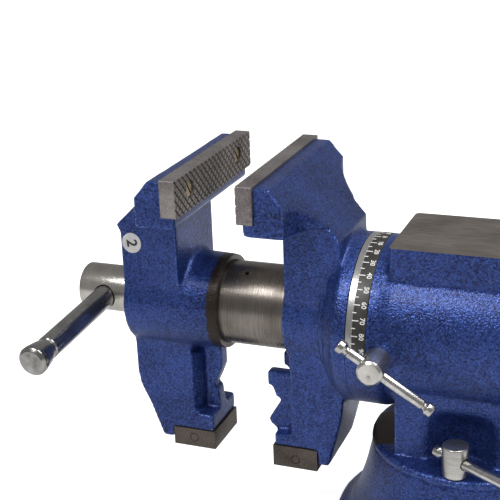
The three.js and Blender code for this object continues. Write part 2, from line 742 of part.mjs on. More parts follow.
piece(screwFrame, "head_casting", headCasting(), BLUE);
piece(screwFrame, "head_retaining_ring", snapRing(), TURNED_STEEL);
piece(screwFrame, "spindle_nut", spindleNut(), BRONZE);
piece(screwFrame, "spindle_nut_screw", nutScrew(), DARK_STEEL);

piece(screwFrame, "moving_jaw_casting", movingJawCasting(), BLUE);
piece(screwFrame, "slide_tube", slideTube(), TURNED_STEEL);
const numberDisc = rod(6.8, -0.25, 0.25, "y", 24).translate(-67.5, -WEB_HALF - 0.35, 46);
piece(screwFrame, "jaw_number_disc", numberDisc, WHITE_LABEL);

for (const [owner, jaw] of [["fixed", FIXED_JAW], ["moving", MOVING_JAW]]) {
  piece(screwFrame, `${owner}_jaw_plate`, jawPlate(jaw.side), PLATE_STEEL);
  piece(screwFrame, `${owner}_plate_screw_near`, plateScrew(jaw.side, -PLATE_SCREW_Y), DARK_STEEL);
  piece(screwFrame, `${owner}_plate_screw_far`, plateScrew(jaw.side, PLATE_SCREW_Y), DARK_STEEL);
  piece(screwFrame, `${owner}_lower_insert`, lowerInsert(jaw), DARK_STEEL);
  piece(screwFrame, `${owner}_insert_pin`, insertPin(jaw), TURNED_STEEL);
  insertScrewPlaces(jaw.insert).forEach((x, i) => {
    piece(screwFrame, `${owner}_insert_screw_${i + 1}`, insertScrew(x, jaw), DARK_STEEL);
  });
}

piece(screwFrame, "spindle", spindle(), TURNED_STEEL);
const washer = ring(14.5, JOURNAL_R + CLEAR, HUB.rear + CLEAR, -MOVING_FRONT - 0.6 - CLEAR, "x", 24);
piece(screwFrame, "spindle_thrust_washer", washer, ZINC);
piece(screwFrame, "spindle_collar", retainingCollar(), DARK_STEEL);
const collarPin = rod(COLLAR_PIN.r, -COLLAR_PIN.half, COLLAR_PIN.half, "z", 12);
piece(screwFrame, "spindle_collar_pin", collarPin.translate(COLLAR_PIN.x, 0, 0), TURNED_STEEL);

const handle = new THREE.Group();
handle.position.set(HANDLE.x, 0, 0);
handle.rotation.x = THREE.MathUtils.degToRad(HANDLE.tilt);
screwFrame.add(handle);
piece(handle, "handle_bar", handleBar(), TURNED_STEEL);
piece(handle, "handle_end_cap", handleCap(), TURNED_STEEL);

// A lock's tommy bar slides through its barrel nut, and turns with it.
function addLockBar(nut, name, offset, y, z) {
  const bar = new THREE.Group();
  bar.position.set(offset, y, z);
  nut.add(bar);
  piece(bar, `${name}_bar`, lockBar(), ZINC);
  piece(bar, `${name}_bar_cap`, lockBarCap(), ZINC);
}

const headLock = new THREE.Group();
headLock.position.set(HEAD_LOCK.x, 0, HEAD_LOCK.z);
headLock.rotation.y = THREE.MathUtils.degToRad(HEAD_BAR.angle);
screwFrame.add(headLock);
piece(headLock, "head_lock_screw", headLockScrew(), ZINC);
addLockBar(headLock, "head_lock", HEAD_BAR.offset, HEAD_BAR.y, 0);
piece(screwFrame, "head_lock_shoe", headLockShoe(), BRONZE);

for (const [sign, where] of [[-1, "near"], [1, "far"]]) {
  const bolt = piece(screwFrame, `base_lock_bolt_${where}`, baseLockBolt(), DARK_STEEL);
  bolt.position.set(SWIVEL, sign * SLOT_R, 0);
  const nut = new THREE.Group();
  nut.position.copy(bolt.position);
  nut.rotation.z = THREE.MathUtils.degToRad(90 + sign * 90 - BASE_NUT.barAngle);
  screwFrame.add(nut);
  piece(nut, `base_lock_nut_${where}`, baseLockNut(), ZINC);
  addLockBar(nut, `base_lock_${where}`, BASE_NUT.barOffset, 0, BASE_NUT.barZ);
}

export default vise;
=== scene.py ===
"""A 125 mm bench vise with a rotating head and a swivel base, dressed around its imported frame.

Modelling happens in millimetres in the screw frame: x from the middle of the jaw gap towards the rear,
z from the screw's axis. show() puts each finished piece into the row frame, in metres.
"""

import json
import math

import bmesh
import bpy
import numpy as np
from mathutils import Matrix, Vector, noise


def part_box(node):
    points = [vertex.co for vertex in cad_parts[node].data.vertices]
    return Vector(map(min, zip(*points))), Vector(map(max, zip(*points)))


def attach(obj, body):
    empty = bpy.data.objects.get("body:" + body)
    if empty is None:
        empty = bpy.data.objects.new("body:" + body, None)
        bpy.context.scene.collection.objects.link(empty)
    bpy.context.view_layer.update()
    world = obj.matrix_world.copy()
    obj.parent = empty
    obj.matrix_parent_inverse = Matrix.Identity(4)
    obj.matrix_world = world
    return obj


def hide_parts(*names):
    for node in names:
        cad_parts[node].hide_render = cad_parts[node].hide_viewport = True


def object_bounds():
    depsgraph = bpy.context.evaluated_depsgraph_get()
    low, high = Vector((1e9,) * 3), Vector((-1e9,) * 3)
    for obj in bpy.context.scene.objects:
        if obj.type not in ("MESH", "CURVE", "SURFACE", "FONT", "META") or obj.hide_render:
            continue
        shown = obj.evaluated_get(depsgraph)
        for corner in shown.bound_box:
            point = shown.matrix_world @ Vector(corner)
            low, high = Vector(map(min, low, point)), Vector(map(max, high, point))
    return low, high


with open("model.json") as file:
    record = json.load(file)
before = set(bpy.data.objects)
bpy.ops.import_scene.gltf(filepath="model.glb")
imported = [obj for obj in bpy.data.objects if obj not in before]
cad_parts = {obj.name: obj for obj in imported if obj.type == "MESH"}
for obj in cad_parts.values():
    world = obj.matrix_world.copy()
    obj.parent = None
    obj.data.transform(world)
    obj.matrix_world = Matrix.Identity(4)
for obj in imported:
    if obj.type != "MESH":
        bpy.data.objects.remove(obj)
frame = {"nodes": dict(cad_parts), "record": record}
CAD_LOW, CAD_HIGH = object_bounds()
MM = 0.001
BODY_OF = {
    node: body
    for body, members in frame["record"]["behaviour"]["bodies"].items()
    for node in members
}


def middle(node):
    low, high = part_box(node)
    return (low + high) / 2


GAP_X = (middle("fixed_jaw_plate").x + middle("moving_jaw_plate").x) / 2
AXIS_Z = middle("slide_tube").z
PLACE = Matrix.Translation((GAP_X, 0, AXIS_Z)) @ Matrix.Scale(MM, 4)
TO_SCREW_FRAME = PLACE.inverted()
SWIVEL_X = -GAP_X / MM
BENCH_Z = -AXIS_Z / MM

# ---- Camera ----
AZIMUTH, ELEVATION, ROLL = (math.radians(d) for d in (21.99, 19.9, -2.336))
CAMERA_AT = Vector((0.1263, -0.6815, 0.4392))
LENS = 86.42


def make_camera():
    sa, ca, se, ce = math.sin(AZIMUTH), math.cos(AZIMUTH), math.sin(ELEVATION), math.cos(ELEVATION)
    back = Vector((sa * ce, -ca * ce, se))
    level_right = Vector((ca, sa, 0))
    level_up = Vector((-sa * se, ca * se, ce))
    right = level_right * math.cos(ROLL) + level_up * math.sin(ROLL)
    up = level_up * math.cos(ROLL) - level_right * math.sin(ROLL)
    data = bpy.data.cameras.new("camera")
    data.lens = LENS
    camera = bpy.data.objects.new("camera", data)
    camera.matrix_world = Matrix((right, up, back)).transposed().to_4x4()
    camera.location = CAMERA_AT
    bpy.context.scene.collection.objects.link(camera)
    bpy.context.scene.camera = camera


make_camera()


# ---- Shader nets ----
class Net:
    """A material's node tree, written a node at a time. A socket given as a value is linked."""

    def __init__(self, name):
        self.material = bpy.data.materials.new(name)
        self.material.use_nodes = True
        self.nodes = self.material.node_tree.nodes
        self.links = self.material.node_tree.links
        self.shader = self.nodes["Principled BSDF"]
        self.where = self.add("TexCoord").outputs["Object"]

    def set(self, socket, value):
        if isinstance(value, bpy.types.NodeSocket):
            self.links.new(value, socket)
        elif isinstance(value, tuple) and len(value) == 3 and socket.type == "RGBA":
            socket.default_value = (*value, 1)
        else:
            socket.default_value = value

    def add(self, kind, *values, props=None, **named):
        node = self.nodes.new("ShaderNode" + kind)
        for key, value in (props or {}).items():
            setattr(node, key, value)
        for socket, value in zip(node.inputs, values):
            if value is not None:
                self.set(socket, value)
        for key, value in named.items():
            self.set(node.inputs[key.replace("_", " ")], value)
        return node

    def math(self, operation, *values, clamp=False):
        return self.add("Math", *values, props={"operation": operation, "use_clamp": clamp}).outputs[0]

    def scaled(self, factors):
        return self.add("VectorMath", self.where, factors, props={"operation": "MULTIPLY"}).outputs[0]

    def noise(self, scale, detail=2.0, rough=0.5, vector=None):
        return self.add(
            "TexNoise", Vector=vector or self.where, Scale=scale, Detail=detail, Roughness=rough
        ).outputs["Fac"]

    def cells(self, scale, output="Distance", feature="F1"):
        node = self.add("TexVoronoi", props={"feature": feature}, Vector=self.where, Scale=scale)
        return node.outputs[output]

    def ramp(self, value, low, high, out_low=0.0, out_high=1.0):
        return self.add("MapRange", value, low, high, out_low, out_high).outputs[0]

    def mix(self, factor, a, b):
        node = self.add("Mix", props={"data_type": "RGBA"})
        self.set(node.inputs["Factor"], factor)
        self.set(node.inputs[6], a)
        self.set(node.inputs[7], b)
        return node.outputs[2]

    def part(self, axis):
        return self.add("SeparateXYZ", self.where).outputs[axis]

    def bump(self, height, strength, distance_mm, normal=None):
        node = self.add("Bump", Height=height, Strength=strength, Distance=distance_mm * MM)
        if normal is not None:
            self.links.new(normal, node.inputs["Normal"])
        return node.outputs[0]

    def finish(self, **sockets):
        for key, value in sockets.items():
            self.set(self.shader.inputs[key.replace("_", " ")], value)
        return self.material


def wobble(net, ragged, scale):
    """A waver of ragged mm each way, for the edge of a worn place."""
    return net.math("MULTIPLY", net.math("SUBTRACT", net.noise(scale, 3.0, 0.6), 0.5), 2 * ragged * MM)


def foot_wear(net):
    """1 on the bare patch of the foot's flange, in front of the pedestal, and 0 elsewhere."""
    centre, reach, edge = (97, -12, -72), 22, 0.6
    point = tuple(PLACE @ Vector(centre))
    away = net.add("VectorMath", net.where, point, props={"operation": "DISTANCE"}).outputs["Value"]
    return net.ramp(net.math("ADD", away, wobble(net, 5, 180)), reach * MM, (reach - edge) * MM)


def boss_end(net):
    """1 on the moving boss's unpainted end, and 0 before it."""
    limit, edge = -17.5, 0.4
    along = net.math("ADD", net.part("X"), wobble(net, 3.0, 230))
    start = GAP_X + limit * MM
    return net.ramp(along, start, start + edge * MM)


PAINT_DEEP = (0.003, 0.007, 0.048)
PAINT_LIGHT = (0.036, 0.078, 0.31)
PAINT_GLINT = (0.30, 0.38, 0.60)


def paint(name, bare=()):
    """Hammered blue enamel: fine dimples, drifting tone and metallic flakes, with a painted highlight: a
    lighter tone and more bright flakes along the convex edges.

    bare lists the worn places, each a mask, a colour and a roughness.
    """
    net = Net(name)
    dimples = net.cells(950, feature="SMOOTH_F1")
    fine = net.noise(1700, 3.0, 0.65)
    mottle = net.noise(760, 2.0, 0.6)
    blotch = net.noise(230, 2.0, 0.5)
    drift = net.noise(22, 2.0, 0.5)
    tone = net.math("ADD", net.ramp(mottle, 0.36, 0.64, 0.0, 0.7), net.ramp(dimples, 0.25, 0.75, 0.22, 0.0))
    tone = net.math("ADD", tone, net.ramp(blotch, 0.35, 0.65, -0.10, 0.10))
    tone = net.math("ADD", tone, net.ramp(drift, 0.35, 0.65, -0.10, 0.12), clamp=True)
    # Painted highlight: the convex edges, found by pointiness, take a lighter tone.
    edge_highlight = net.ramp(net.add("NewGeometry").outputs["Pointiness"], 0.515, 0.575)
    tone = net.math("ADD", tone, net.math("MULTIPLY", edge_highlight, 0.5), clamp=True)
    colour = net.mix(tone, PAINT_DEEP, PAINT_LIGHT)
    speck = net.ramp(net.add("SeparateColor", net.cells(1500, "Color")).outputs[0], 0.90, 0.95)
    # Flakes lie everywhere, and thicker on the convex edges as a painted highlight.
    flake_and_edge_glint = net.math("MULTIPLY", speck, net.math("ADD", net.math("MULTIPLY", edge_highlight, 0.75), 0.12))
    colour = net.mix(flake_and_edge_glint, colour, PAINT_GLINT)
    rough = net.ramp(fine, 0.3, 0.7, 0.23, 0.38)
    metal = net.ramp(flake_and_edge_glint, 0.0, 1.0, 0.55, 0.9)
    relief = net.bump(net.math("ADD", dimples, mottle), 0.85, 0.34)
    relief = net.bump(fine, 0.25, 0.07, relief)
    for place, tint, tint_rough in bare:
        mask = place(net)
        kept = net.math("SUBTRACT", 1.0, mask)
        shade = tuple(c * 0.45 for c in tint)
        colour = net.mix(mask, colour, net.mix(net.noise(900, 4.0, 0.65), shade, tint))
        rough = net.math("ADD", net.math("MULTIPLY", rough, kept), net.math("MULTIPLY", mask, tint_rough))
        metal = net.math("ADD", metal, net.math("MULTIPLY", mask, 0.35), clamp=True)
    return net.finish(
        Base_Color=colour,
        Roughness=rough,
        Metallic=metal,
        Normal=relief,
        Coat_Weight=0.12,
        Coat_Roughness=0.22,
        Specular_IOR_Level=0.35,
    )


def steel(name, dark, light, rough, metal=0.95, grain=(900, 900, 900), pits=0.3):
    """Bare steel. grain is its frequency along each axis: rings on turned work, lines on ground work."""
    net = Net(name)
    lines = net.noise(1.0, 4.0, 0.62, net.scaled(grain))
    cloud = net.noise(30, 3.0, 0.55)
    spots = net.ramp(net.noise(1100, 3.0, 0.6), 0.62, 0.75)
    colour = net.mix(net.ramp(net.math("ADD", lines, cloud), 0.7, 1.3), dark, light)
    colour = net.mix(net.math("MULTIPLY", spots, pits), colour, tuple(c * 0.35 for c in dark))
    roughness = net.ramp(net.math("ADD", lines, cloud), 0.7, 1.3, rough[1], rough[0])
    height = net.math("SUBTRACT", lines, net.math("MULTIPLY", spots, 0.6))
    relief = net.bump(height, 0.5, 0.06)
    return net.finish(Base_Color=colour, Roughness=roughness, Metallic=metal, Normal=relief)


# Each steel's dark and light tones, its roughness range, how metallic it is, its grain, and its pits.
STEELS = {
    "plate_steel": ((0.105, 0.093, 0.090), (0.31, 0.280, 0.275), (0.34, 0.52), 0.75, (700, 500, 700), 0.35),
    "grip_steel": ((0.085, 0.077, 0.074), (0.26, 0.240, 0.232), (0.34, 0.5), 0.8, (500, 500, 500), 0.3),
    "screw_steel": ((0.14, 0.10, 0.05), (0.42, 0.32, 0.18), (0.28, 0.45), 0.9),
    "tube_steel": ((0.065, 0.054, 0.045), (0.26, 0.235, 0.21), (0.20, 0.40), 0.92, (2600, 30, 30), 0.6),
    "turned_x": ((0.26, 0.24, 0.22), (0.58, 0.555, 0.52), (0.18, 0.32), 0.95, (2400, 60, 60), 0.12),
    "turned_y": ((0.20, 0.195, 0.185), (0.48, 0.47, 0.455), (0.12, 0.24), 0.97, (200, 900, 200), 0.2),
    "turned_z": ((0.36, 0.35, 0.34), (0.66, 0.65, 0.64), (0.16, 0.28), 0.95, (60, 60, 2400), 0.12),
    "bright_bar": ((0.30, 0.29, 0.27), (0.64, 0.63, 0.61), (0.14, 0.24), 0.97, (300, 300, 300), 0.1),
    "dark_steel": ((0.034, 0.027, 0.022), (0.125, 0.102, 0.086), (0.38, 0.55), 0.6),
    "pin_steel": ((0.04, 0.031, 0.025), (0.14, 0.115, 0.098), (0.35, 0.5), 0.7),
    "anvil_steel": ((0.09, 0.076, 0.064), (0.25, 0.22, 0.19), (0.32, 0.5), 0.75, (90, 900, 900), 0.5),
    "machined": ((0.055, 0.048, 0.042), (0.18, 0.162, 0.145), (0.3, 0.5), 0.75, (600, 600, 600), 0.4),
    "bronze": ((0.22, 0.12, 0.04), (0.52, 0.34, 0.14), (0.3, 0.45), 0.9, (900, 900, 900), 0.2),
    "silver_label": ((0.30, 0.30, 0.30), (0.52, 0.52, 0.51), (0.22, 0.35), 0.8, (1800, 90, 90), 0.1),
    "nut_steel_y": ((0.34, 0.33, 0.31), (0.60, 0.58, 0.55), (0.20, 0.34), 0.95, (80, 900, 80), 0.1),
    "nut_steel_z": ((0.34, 0.33, 0.31), (0.60, 0.58, 0.55), (0.20, 0.34), 0.95, (80, 80, 900), 0.1),
}
METAL = {name: steel(name, *facts) for name, facts in STEELS.items()}


def printed(name, low, high, rough):
    net = Net(name)
    speck = net.noise(1400, 3.0, 0.6)
    colour = net.mix(net.ramp(net.math("ADD", speck, net.noise(120, 2.0)), 0.7, 1.3), low, high)
    roughness = net.ramp(speck, 0.3, 0.7, rough, rough + 0.15)
    return net.finish(Base_Color=colour, Roughness=roughness, Normal=net.bump(speck, 0.3, 0.03))


BLACK_LABEL = printed("black_label", (0.012, 0.011, 0.010), (0.040, 0.036, 0.032), 0.35)
WHITE_INK = printed("white_ink", (0.62, 0.62, 0.60), (0.80, 0.80, 0.78), 0.5)
WHITE_PAPER = printed("white_paper", (0.44, 0.43, 0.44), (0.64, 0.63, 0.63), 0.6)
BLACK_INK = printed("black_ink", (0.008, 0.008, 0.008), (0.03, 0.03, 0.03), 0.5)

BODY_PAINT = paint("body_paint", [(foot_wear, (0.13, 0.098, 0.075), 0.5)])
HEAD_PAINT = paint("head_paint")
MOVING_PAINT = paint("moving_paint", [(boss_end, (0.046, 0.036, 0.030), 0.45)])
BASE_PAINT = paint("base_paint")
CAP_PAINT = paint("cap_paint")


# ---- Meshes in the screw frame, in millimetres ----
def mesh_of(verts, faces):
    mesh = bpy.data.meshes.new("work")
    mesh.from_pydata([tuple(v) for v in verts], [], faces)
    bm = bmesh.new()
    bm.from_mesh(mesh)
    bmesh.ops.recalc_face_normals(bm, faces=bm.faces)
    bm.to_mesh(mesh)
    bm.free()
    return mesh


def rounded(points, steps=5):
    """An outline whose points may carry a third number, the radius that their corner is rounded to."""
    out = []
    for i, point in enumerate(points):
        radius = point[2] if len(point) > 2 else 0
        b = np.array(point[:2], float)
        if not radius:
            out.append(tuple(b))
            continue
        u = np.array(points[i - 1][:2], float) - b
        w = np.array(points[(i + 1) % len(points)][:2], float) - b
        u, w = u / np.linalg.norm(u), w / np.linalg.norm(w)
        half = math.acos(np.clip(u @ w, -1, 1)) / 2
        centre = b + (u + w) / np.linalg.norm(u + w) * radius / math.sin(half)
        start, end = b + u * radius / math.tan(half) - centre, b + w * radius / math.tan(half) - centre
        sweep = math.pi - 2 * half
        for k in range(steps + 1):
            t = k / steps
            arc = (math.sin((1 - t) * sweep) * start + math.sin(t * sweep) * end) / math.sin(sweep)
            out.append(tuple(centre + arc))
    return out


def turned(points, axis, centre=(0, 0, 0), segments=96, steps=5):
    """A solid of revolution. Points are (radius, along[, corner radius]).

    An outline that ends where it began makes a ring.
    """
    ring_shaped = tuple(points[0]) == tuple(points[-1])
    outline = rounded(points[:-1] if ring_shaped else points, steps)
    turn = np.linspace(0, 2 * math.pi, segments, endpoint=False)
    verts, rings = [], []
    for r, h in outline:
        first = len(verts)
        if r < 1e-6:
            ring = [(0.0, 0.0, h)]
        else:
            ring = [(r * math.cos(a), r * math.sin(a), h) for a in turn]
        verts += ring
        rings.append(list(range(first, first + len(ring))))
    faces = []
    for a, b in zip(rings, rings[1:] + ([rings[0]] if ring_shaped else [])):
        for i in range(max(len(a), len(b))):
            corners = [a[i % len(a)], a[(i + 1) % len(a)], b[(i + 1) % len(b)], b[i % len(b)]]
            face = [c for k, c in enumerate(corners) if c != corners[k - 1]]
            if len(face) > 2:
                faces.append(face)
    order = {"x": (2, 0, 1), "y": (0, 2, 1), "z": (0, 1, 2)}[axis]
    return mesh_of([[v[order[k]] + centre[k] for k in range(3)] for v in verts], faces)


def rod(r, low, high, axis, centre=(0, 0, 0), segments=96):
    return turned([(0, low), (r, low), (r, high), (0, high)], axis, centre, segments)


def prism(points, axis, low, high):
    """An outline pushed along an axis. Its points are the other two coordinates, in order."""
    n = len(points)
    k = "xyz".index(axis)
    verts = [[*p[:k], h, *p[k:]] for h in (low, high) for p in points]
    faces = [list(range(n)), list(range(2 * n - 1, n - 1, -1))]
    faces += [[i, (i + 1) % n, n + (i + 1) % n, n + i] for i in range(n)]
    return mesh_of(verts, faces)


def block(x0, x1, y0, y1, z0, z1):
    return prism([(x0, z0), (x1, z0), (x1, z1), (x0, z1)], "y", y0, y1)


def moved(mesh, matrix):
    mesh.transform(matrix)
    return mesh


def turned_about(degrees, axis):
    return Matrix.Rotation(math.radians(degrees), 4, axis)


def joined(*meshes):
    bm = bmesh.new()
    for mesh in meshes:
        bm.from_mesh(mesh)
    out = bpy.data.meshes.new("work")
    bm.to_mesh(out)
    bm.free()
    return out


def work_object(mesh, *materials):
    obj = bpy.data.objects.new("work", mesh)
    for material in materials:
        mesh.materials.append(material)
    bpy.context.scene.collection.objects.link(obj)
    return obj


def settle(obj):
    """Applies the modifiers."""
    graph = bpy.context.evaluated_depsgraph_get()
    mesh = bpy.data.meshes.new_from_object(obj.evaluated_get(graph))
    obj.modifiers.clear()
    obj.data = mesh
    return obj


def carve(obj, tool, material):
    """Cuts a tool's shape away, and leaves the cut in the given material."""
    cutter = work_object(tool, material)
    modifier = obj.modifiers.new("cut", "BOOLEAN")
    modifier.object = cutter
    modifier.operation = "DIFFERENCE"
    modifier.solver = "MANIFOLD"
    modifier.material_mode = "TRANSFER"
    settle(obj)
    bpy.data.objects.remove(cutter)


def bevelled(obj, width, segments=2):
    modifier = obj.modifiers.new("edges", "BEVEL")
    modifier.width = width
    modifier.segments = segments
    modifier.limit_method = "ANGLE"
    modifier.angle_limit = math.radians(30)
    return settle(obj)


def cad_mesh(node, grow=None):
    """A welded copy of a CAD node in the screw frame. grow moves its points."""
    bm = bmesh.new()
    bm.from_mesh(frame["nodes"][node].data)
    bm.transform(TO_SCREW_FRAME)
    bmesh.ops.remove_doubles(bm, verts=bm.verts, dist=1e-4)
    if grow:
        for v in bm.verts:
            v.co = grow(*v.co)
    mesh = bpy.data.meshes.new("work")
    bm.to_mesh(mesh)
    bm.free()
    return mesh


def relax(obj, passes, weight):
    """Smooths a dense mesh. weight gives each point's share from its coordinates."""
    mesh = obj.data
    n = len(mesh.vertices)
    co = np.empty(n * 3)
    mesh.vertices.foreach_get("co", co)
    co = co.reshape(-1, 3)
    pairs = np.empty(len(mesh.edges) * 2, int)
    mesh.edges.foreach_get("vertices", pairs)
    a, b = pairs.reshape(-1, 2).T
    count = np.maximum(np.bincount(a, minlength=n) + np.bincount(b, minlength=n), 1)[:, None]
    share = 0.5 * np.clip(weight(*co.T), 0, 1)[:, None]
    for _ in range(passes):
        total = [np.bincount(a, co[b, k], n) + np.bincount(b, co[a, k], n) for k in range(3)]
        co += (np.array(total).T / count - co) * share
    mesh.vertices.foreach_set("co", co.ravel())
    mesh.update()


def cast_skin(obj, height=0.12, size=14.0):
    """The slow unevenness of a sand casting."""
    mesh = obj.data
    n = len(mesh.vertices)
    co, normals = np.empty(n * 3), np.empty(n * 3)
    mesh.vertices.foreach_get("co", co)
    mesh.vertex_normals.foreach_get("vector", normals)
    co, normals = co.reshape(-1, 3), normals.reshape(-1, 3)
    lift = np.array([noise.noise(Vector(p)) for p in co / size])
    mesh.vertices.foreach_set("co", (co + normals * (height * lift)[:, None]).ravel())
    mesh.update()


VOXEL = 1.3


def casting(node, extra, grow, weight=None, passes=6, voxel=VOXEL):
    """A CAD casting as a dense soft-edged skin, ready to be machined."""
    obj = work_object(joined(cad_mesh(node, grow), *extra))
    modifier = obj.modifiers.new("skin", "REMESH")
    modifier.mode = "VOXEL"
    modifier.voxel_size = voxel
    settle(obj)
    relax(obj, passes, weight or (lambda x, y, z: np.ones_like(x)))
    cast_skin(obj)
    return obj


def show(obj, name, slot, *nodes, body=None, angle=32):
    """Puts a finished piece into the row frame, on its body."""
    obj.name = name
    obj.data.name = name
    obj.data.transform(PLACE)
    obj.data.shade_smooth()
    obj.data.set_sharp_from_angle(angle=math.radians(angle))
    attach(obj, body or BODY_OF[nodes[0]])
    if nodes:
        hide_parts(*nodes)


# ---- Dimensions shared with the CAD, in millimetres ----
CLEAR = 0.3
TUBE_R, TUBE_BORE_R = 27.6, 20.4
TUBE_FRONT, TUBE_REAR = -59.7, 171
BULGE_R = 33
COLLAR = {"r": 54.3, "front": 72, "rear": 82.4}
SLEEVE_R, SLEEVE_REAR = 38, 182
BEARING_REAR = 172
CHAMBER_R = 44
BODY_FRONT, BODY_REAR, BODY_R = 82.7, 240, 52
RIM_REAR, GROOVE_R = 103.2, 50.4
BAND_R, BAND_INNER, BAND_REAR, BAND_HALF_TURN = 54.3, 52.5, 95.5, 93
SILVER_EDGE = 87.0
PLATE_THICK, PLATE_HEIGHT, JAW_HALF_WIDTH, JAW_TOP, HALF_GAP = 10.5, 24, 62.5, 100, 19.3
PLATE_SEAT = {"x": 30.1, "z": 75.7}
PLATE_SCREW_Y, PLATE_SCREW_Z, PLATE_SCREW_ANGLE = 39.5, 89, 35
MOVING_BULGE_FRONT = -76.6
JOURNAL_R = 10
FOOT_BOTTOM, FOOT_TOP, FOOT_R = -76, -71.6, 64.5
ANVIL_TOP = 60.1
HEAD_LOCK = {"x": 104, "z": -3, "near": -76.5, "root": -54.9, "shank": -44.3, "bar_y": -68.5, "angle": 32,
             "offset": 8.9}
BASE_NUT = {"top": -51.5, "bottom": -71.3, "bar_z": -61.7, "angle": 30.4, "offset": 18}
LOCK_NUT_R = 8
SHANK_R = 5
HANDLE = {"x": -99.5, "r": 7.6, "half": 112.5, "knob": 9.8, "tilt": 3.4}
HUB_R, HUB_FRONT, HUB_REAR = 16, -119, -79
THREAD_R, THREAD_FRONT, SPINDLE_REAR = 9.2, -43, 196.5
COLLAR_PIN_X = -55
SLOT_R = 56.5
BASE_HEIGHT = 59.7
LUG_R, LUG_HOLE_R = 96, 5.5
SPIGOT_BORE_R, SPIGOT_BORE_FLOOR = 20.3, 30.7
QUARTERS = (45, 135, 225, 315)
FIXED_SEAT = {"near": 24.6, "far": 55, "top": -87.6, "half": 28}
MOVING_SEAT = {"near": 20.6, "far": 51, "top": -90, "half": 20}
INSERT_SCREW_INSET = 6.7
CAP = {"front": 240.3, "shoulder": 244, "rear": 246, "screw_r": 48}


def sector(section, half_turn, count=187):
    """A closed (x, radius) outline swept about the screw's axis, half_turn degrees each way from the top."""
    turns = np.radians(np.linspace(-half_turn, half_turn, count))
    n = len(section)
    verts = [(x, r * math.sin(t), r * math.cos(t)) for t in turns for x, r in section]
    faces = [list(range(n)), list(range(len(verts) - n, len(verts)))]
    for i in range(count - 1):
        for k in range(n):
            a, b = i * n + k, i * n + (k + 1) % n
            faces.append([a, b, b + n, a + n])
    return mesh_of(verts, faces)


# ---- Jaw castings ----
def jaw_weight(x, y, z):
    """Crisp on the jaw block, soft where the block sweeps into the web and the web into the barrel."""
    on_block = np.clip((z - 66) / 3, 0, 1) * np.clip((np.abs(y) - 33) / 6, 0, 1)
    return 0.75 - 0.6 * on_block


def jaw_machining(obj, side, insert):
    """The plate's seat, the bores and the insert's seat are cut after painting."""
    seat = sorted((0, side * PLATE_SEAT["x"]))
    carve(obj, block(*seat, -70, 70, PLATE_SEAT["z"], 110), METAL["machined"])
    half = insert["half"] + 5
    shelf = sorted((side * 15, side * (insert["far"] + CLEAR)))
    carve(obj, block(*shelf, -half, half, -110, insert["top"] + CLEAR), METAL["machined"])
    low, high = sorted((side * 25, side * 42))
    for s in (-1, 1):
        carve(obj, rod(3.3, low, high, "x", (0, s * PLATE_SCREW_Y, PLATE_SCREW_Z), 32), METAL["machined"])
    for x in (insert["near"] + INSERT_SCREW_INSET, insert["far"] - INSERT_SCREW_INSET):
        carve(obj, rod(2.8, -95, insert["top"] + 11, "z", (side * x, 0, 0), 24), METAL["machined"])


def jaw_grow(side):
    """Leaves stock on the plate's seat, for the cut that squares it."""

    def grow(x, y, z):
        u = x * side
        if abs(u - PLATE_SEAT["x"]) < 0.05 and z > 75:
            u -= 3
        if abs(z - PLATE_SEAT["z"]) < 0.05 and u < 31:
            z += 2
        return Vector((u * side, y, z))

    return grow


def head_casting():
    r, front, rear = COLLAR["r"], COLLAR["front"], COLLAR["rear"]
    outline = [(0, 60), (47, 66), (r - 3, front), (r, front + 2.5), (r, rear + 2), (0, rear + 2)]
    extra = [
        turned(outline, "x", segments=180),
        rod(SLEEVE_R, 60, SLEEVE_REAR, "x", segments=160),
        rod(BULGE_R, 34.6, front + 2, "x", segments=140),
    ]
    obj = casting("head_casting", extra, jaw_grow(1), jaw_weight)
    obj.data.materials.append(HEAD_PAINT)
    around_sleeve = [
        (SLEEVE_R, rear),
        (70, rear),
        (70, 190),
        (SLEEVE_R - 1, 190),
        (SLEEVE_R - 1, SLEEVE_REAR),
        (SLEEVE_R, SLEEVE_REAR - 1),
        (SLEEVE_R, rear),
    ]
    carve(obj, turned(around_sleeve, "x", segments=160), METAL["machined"])
    carve(obj, rod(TUBE_R + CLEAR, 15, 190, "x", segments=128), METAL["machined"])
    keyway = block(85.7, 100.3, -6.8, 6.8, -35, -20)
    carve(obj, keyway, METAL["machined"])
    carve(obj, rod(2.6, -40, -30, "z", (93, 0, 0), 32), METAL["machined"])
    groove = [(36.4, 172.3), (41, 172.3), (41, 176), (36.4, 176), (36.4, 172.3)]
    carve(obj, turned(groove, "x", segments=128), METAL["machined"])
    jaw_machining(obj, 1, FIXED_SEAT)
    show(obj, "head_casting_finished", "blue_paint", "head_casting")


def moving_jaw_casting():
    extra = [
        rod(BULGE_R, MOVING_BULGE_FRONT, -34, "x", segments=140),
        turned([(0, -40), (32.5, -40), (31.6, -13), (30.6, -8), (0, -8)], "x", segments=140),
    ]
    obj = casting("moving_jaw_casting", extra, jaw_grow(-1), jaw_weight)
    obj.data.materials.append(MOVING_PAINT)
    carve(obj, block(-11, 5, -36, 36, -33, 36), METAL["machined"])
    carve(obj, rod(TUBE_R + CLEAR, -60, 5, "x", segments=128), METAL["machined"])
    carve(obj, rod(JOURNAL_R + CLEAR, -80, -50, "x", segments=64), METAL["machined"])
    jaw_machining(obj, -1, MOVING_SEAT)
    show(obj, "moving_jaw_casting_finished", "blue_paint", "moving_jaw_casting")


# ---- Body and base ----
def body_grow(x, y, z):
    """Leaves stock on the anvil, the foot's underside and the rear face."""
    if abs(z - ANVIL_TOP) < 0.05:
        z += 3
    if abs(z - FOOT_BOTTOM) < 0.05:
        z -= 2
    if abs(x - BODY_REAR) < 0.05:
        x += 2
    return Vector((x, y, z))


def pocket_weight(x, y, z):
    """Softens the scoops beside the base locks into the pedestal's walls."""
    across = np.clip((34 - np.abs(x - SWIVEL_X)) / 5, 0, 1) * np.clip((np.abs(y) - 27) / 4, 0, 1)
    return across * np.clip((z + 71) / 5, 0, 1) * np.clip((-35 - z) / 3, 0, 1)


